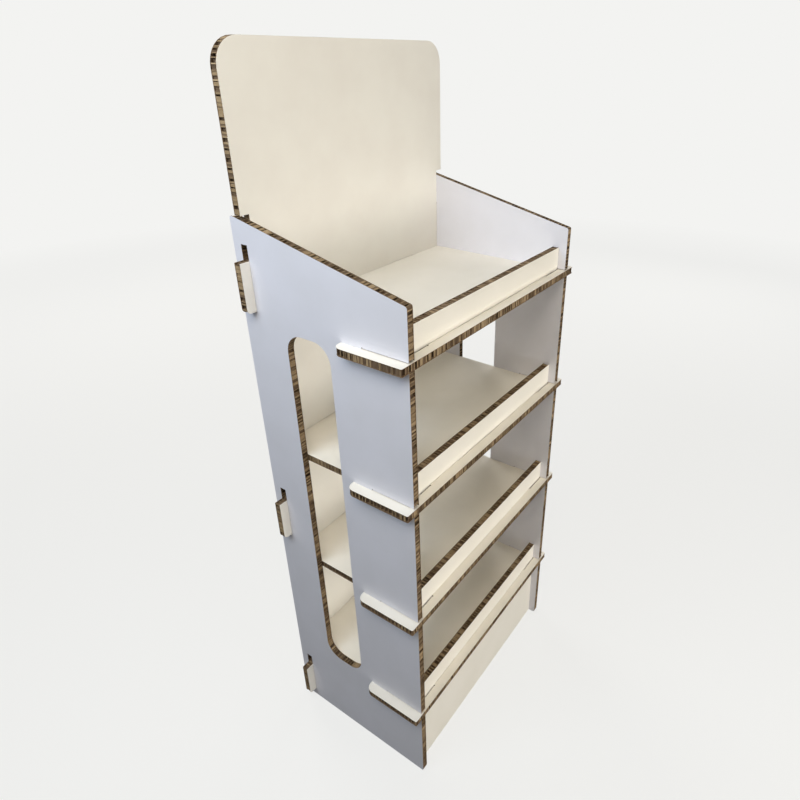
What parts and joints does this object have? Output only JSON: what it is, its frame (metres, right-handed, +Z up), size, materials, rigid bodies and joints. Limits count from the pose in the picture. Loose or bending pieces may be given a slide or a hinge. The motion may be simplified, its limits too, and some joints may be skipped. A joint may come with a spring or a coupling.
{
  "type": "cardboard display stand",
  "caption": "Slotted white honeycomb-board floor display stand with stacked lipped shelves, side windows, hooked back panel, rounded header and kick panel.",
  "frame": {"origin": "on the floor under the middle of the stand's overall box", "axes": "+Z up, front (lips, open side) towards -Y, width along X"},
  "size_m": [0.688, 0.429, 1.6951],
  "materials": {
    "cool_white_board": "matt",
    "cream_board": "matt",
    "white_board": "matt"
  },
  "bodies": {
    "root": {"side_panel_left": "cool_white_board", "side_panel_right": "cool_white_board", "back_panel": "cream_board", "shelf_1": "white_board", "shelf_2": "white_board", "shelf_3": "white_board", "shelf_4": "white_board", "lip_1": "white_board", "lip_2": "white_board", "lip_3": "white_board", "lip_4": "white_board", "kick_panel": "white_board"}
  },
  "joints": []
}
